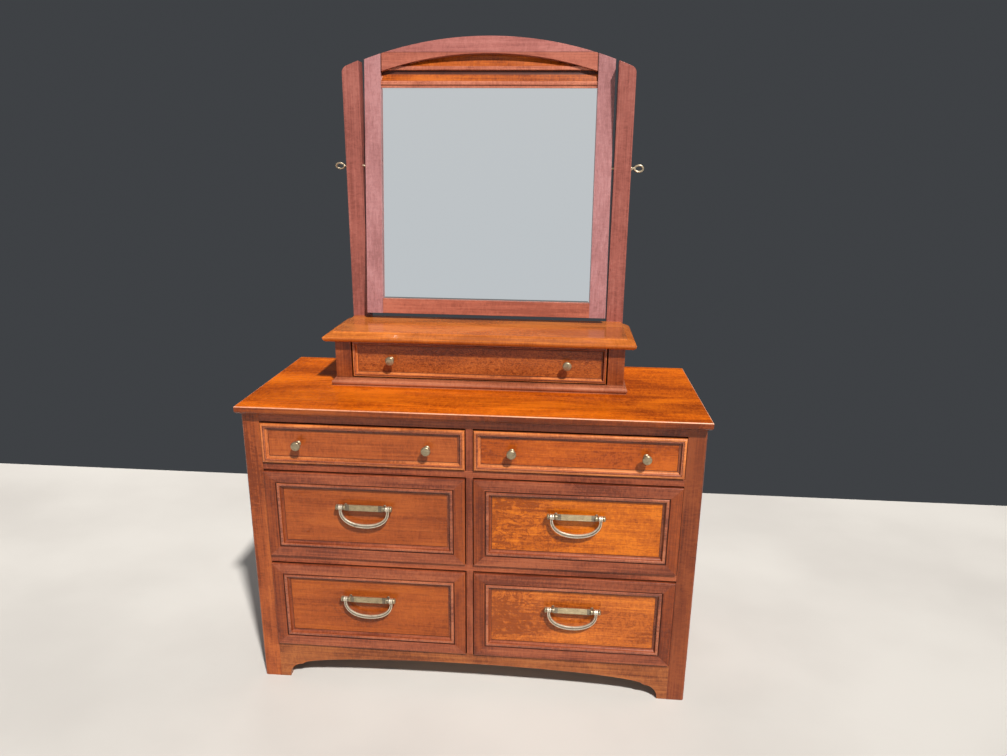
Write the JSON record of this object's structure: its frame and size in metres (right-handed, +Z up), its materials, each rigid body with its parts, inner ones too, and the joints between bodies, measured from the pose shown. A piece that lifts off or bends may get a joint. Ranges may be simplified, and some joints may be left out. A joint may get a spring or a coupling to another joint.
{
  "type": "dresser with mirror",
  "caption": "Wide wooden chest of drawers on short feet, with a small drawer deck on top and an arched mirror that tilts between two posts.",
  "frame": {"origin": "floor level, in the middle of the box round the whole dresser, mirror included", "axes": "+Z up, the drawers face -Y, +X is on the right of someone who looks at the drawers"},
  "size_m": [1.226, 0.526, 1.7959],
  "materials": {
    "case_wood": "reddish brown stain under gloss lacquer",
    "front_wood": "reddish brown stain under gloss lacquer",
    "top_wood": "orange brown stain under gloss lacquer",
    "mirror_wood": "reddish brown stain under gloss lacquer",
    "drawer_wood": "clear sealed pale wood",
    "board": "plain brown hardboard",
    "pull_metal": "antiqued and polished on the high points",
    "looking_glass": "silvered and bevelled"
  },
  "bodies": {
    "case": {"dresser_top": "top_wood", "left_front_post": "case_wood", "right_front_post": "case_wood", "left_rear_post": "case_wood", "right_rear_post": "case_wood", "left_side_panel": "case_wood", "right_side_panel": "case_wood", "back_panel": "board", "top_frame": "case_wood", "upper_drawer_frame": "case_wood", "lower_drawer_frame": "case_wood", "bottom_frame": "case_wood", "apron": "case_wood", "upper_divider": "case_wood", "middle_divider": "case_wood", "lower_divider": "case_wood", "deck_top": "top_wood", "deck_left_side": "case_wood", "deck_right_side": "case_wood", "deck_base_moulding": "case_wood", "deck_back": "case_wood", "mirror_post_left": "mirror_wood", "mirror_post_right": "mirror_wood"},
    "deck_drawer": {"deck_drawer_front": "front_wood", "deck_drawer_box": "drawer_wood", "deck_knob_left": "pull_metal", "deck_knob_right": "pull_metal"},
    "upper_left_drawer": {"upper_left_drawer_front": "front_wood", "upper_left_drawer_box": "drawer_wood", "upper_left_knob_left": "pull_metal", "upper_left_knob_right": "pull_metal"},
    "upper_right_drawer": {"upper_right_drawer_front": "front_wood", "upper_right_drawer_box": "drawer_wood", "upper_right_knob_left": "pull_metal", "upper_right_knob_right": "pull_metal"},
    "middle_left_drawer": {"middle_left_drawer_front": "front_wood", "middle_left_drawer_box": "drawer_wood", "middle_left_pull_bar": "pull_metal"},
    "middle_right_drawer": {"middle_right_drawer_front": "front_wood", "middle_right_drawer_box": "drawer_wood", "middle_right_pull_bar": "pull_metal"},
    "lower_left_drawer": {"lower_left_drawer_front": "front_wood", "lower_left_drawer_box": "drawer_wood", "lower_left_pull_bar": "pull_metal"},
    "lower_right_drawer": {"lower_right_drawer_front": "front_wood", "lower_right_drawer_box": "drawer_wood", "lower_right_pull_bar": "pull_metal"},
    "middle_left_bail": {"middle_left_pull_bail": "pull_metal"},
    "middle_right_bail": {"middle_right_pull_bail": "pull_metal"},
    "lower_left_bail": {"lower_left_pull_bail": "pull_metal"},
    "lower_right_bail": {"lower_right_pull_bail": "pull_metal"},
    "mirror": {"mirror_left_stile": "mirror_wood", "mirror_right_stile": "mirror_wood", "mirror_arch_rail": "mirror_wood", "mirror_crown_moulding": "mirror_wood", "mirror_bottom_rail": "mirror_wood", "mirror_glass": "looking_glass", "mirror_backboard": "board"},
    "left_thumbscrew": {"thumbscrew_left": "pull_metal"},
    "right_thumbscrew": {"thumbscrew_right": "pull_metal"}
  },
  "joints": [
    {"name": "deck_drawer_slide", "type": "slide", "parent": "case", "child": "deck_drawer", "axis": [0, -1, 0], "range_m": [0, 0.13]},
    {"name": "upper_left_drawer_slide", "type": "slide", "parent": "case", "child": "upper_left_drawer", "axis": [0, -1, 0], "range_m": [0, 0.33]},
    {"name": "upper_right_drawer_slide", "type": "slide", "parent": "case", "child": "upper_right_drawer", "axis": [0, -1, 0], "range_m": [0, 0.33]},
    {"name": "middle_left_drawer_slide", "type": "slide", "parent": "case", "child": "middle_left_drawer", "axis": [0, -1, 0], "range_m": [0, 0.33]},
    {"name": "middle_right_drawer_slide", "type": "slide", "parent": "case", "child": "middle_right_drawer", "axis": [0, -1, 0], "range_m": [0, 0.33]},
    {"name": "lower_left_drawer_slide", "type": "slide", "parent": "case", "child": "lower_left_drawer", "axis": [0, -1, 0], "range_m": [0, 0.33]},
    {"name": "lower_right_drawer_slide", "type": "slide", "parent": "case", "child": "lower_right_drawer", "axis": [0, -1, 0], "range_m": [0, 0.33]},
    {"name": "middle_left_bail_swing", "type": "hinge", "parent": "middle_left_drawer", "child": "middle_left_bail", "pos_m": [-0.28375, -0.25048, 0.561], "axis": [-1, 0, 0], "range_deg": [-8, 85]},
    {"name": "middle_right_bail_swing", "type": "hinge", "parent": "middle_right_drawer", "child": "middle_right_bail", "pos_m": [0.28375, -0.25048, 0.561], "axis": [-1, 0, 0], "range_deg": [-8, 85]},
    {"name": "lower_left_bail_swing", "type": "hinge", "parent": "lower_left_drawer", "child": "lower_left_bail", "pos_m": [-0.28375, -0.25048, 0.2795], "axis": [-1, 0, 0], "range_deg": [-8, 85]},
    {"name": "lower_right_bail_swing", "type": "hinge", "parent": "lower_right_drawer", "child": "lower_right_bail", "pos_m": [0.28375, -0.25048, 0.2795], "axis": [-1, 0, 0], "range_deg": [-8, 85]},
    {"name": "mirror_tilt", "type": "hinge", "parent": "case", "child": "mirror", "pos_m": [0, 0.21102, 1.44], "axis": [-1, 0, 0], "range_deg": [-21.6, 13.4]},
    {"name": "left_thumbscrew_turn", "type": "hinge", "parent": "case", "child": "left_thumbscrew", "pos_m": [-0.4135, 0.21102, 1.44], "axis": [-1, 0, 0], "continuous": true},
    {"name": "right_thumbscrew_turn", "type": "hinge", "parent": "case", "child": "right_thumbscrew", "pos_m": [0.4135, 0.21102, 1.44], "axis": [1, 0, 0], "continuous": true}
  ]
}
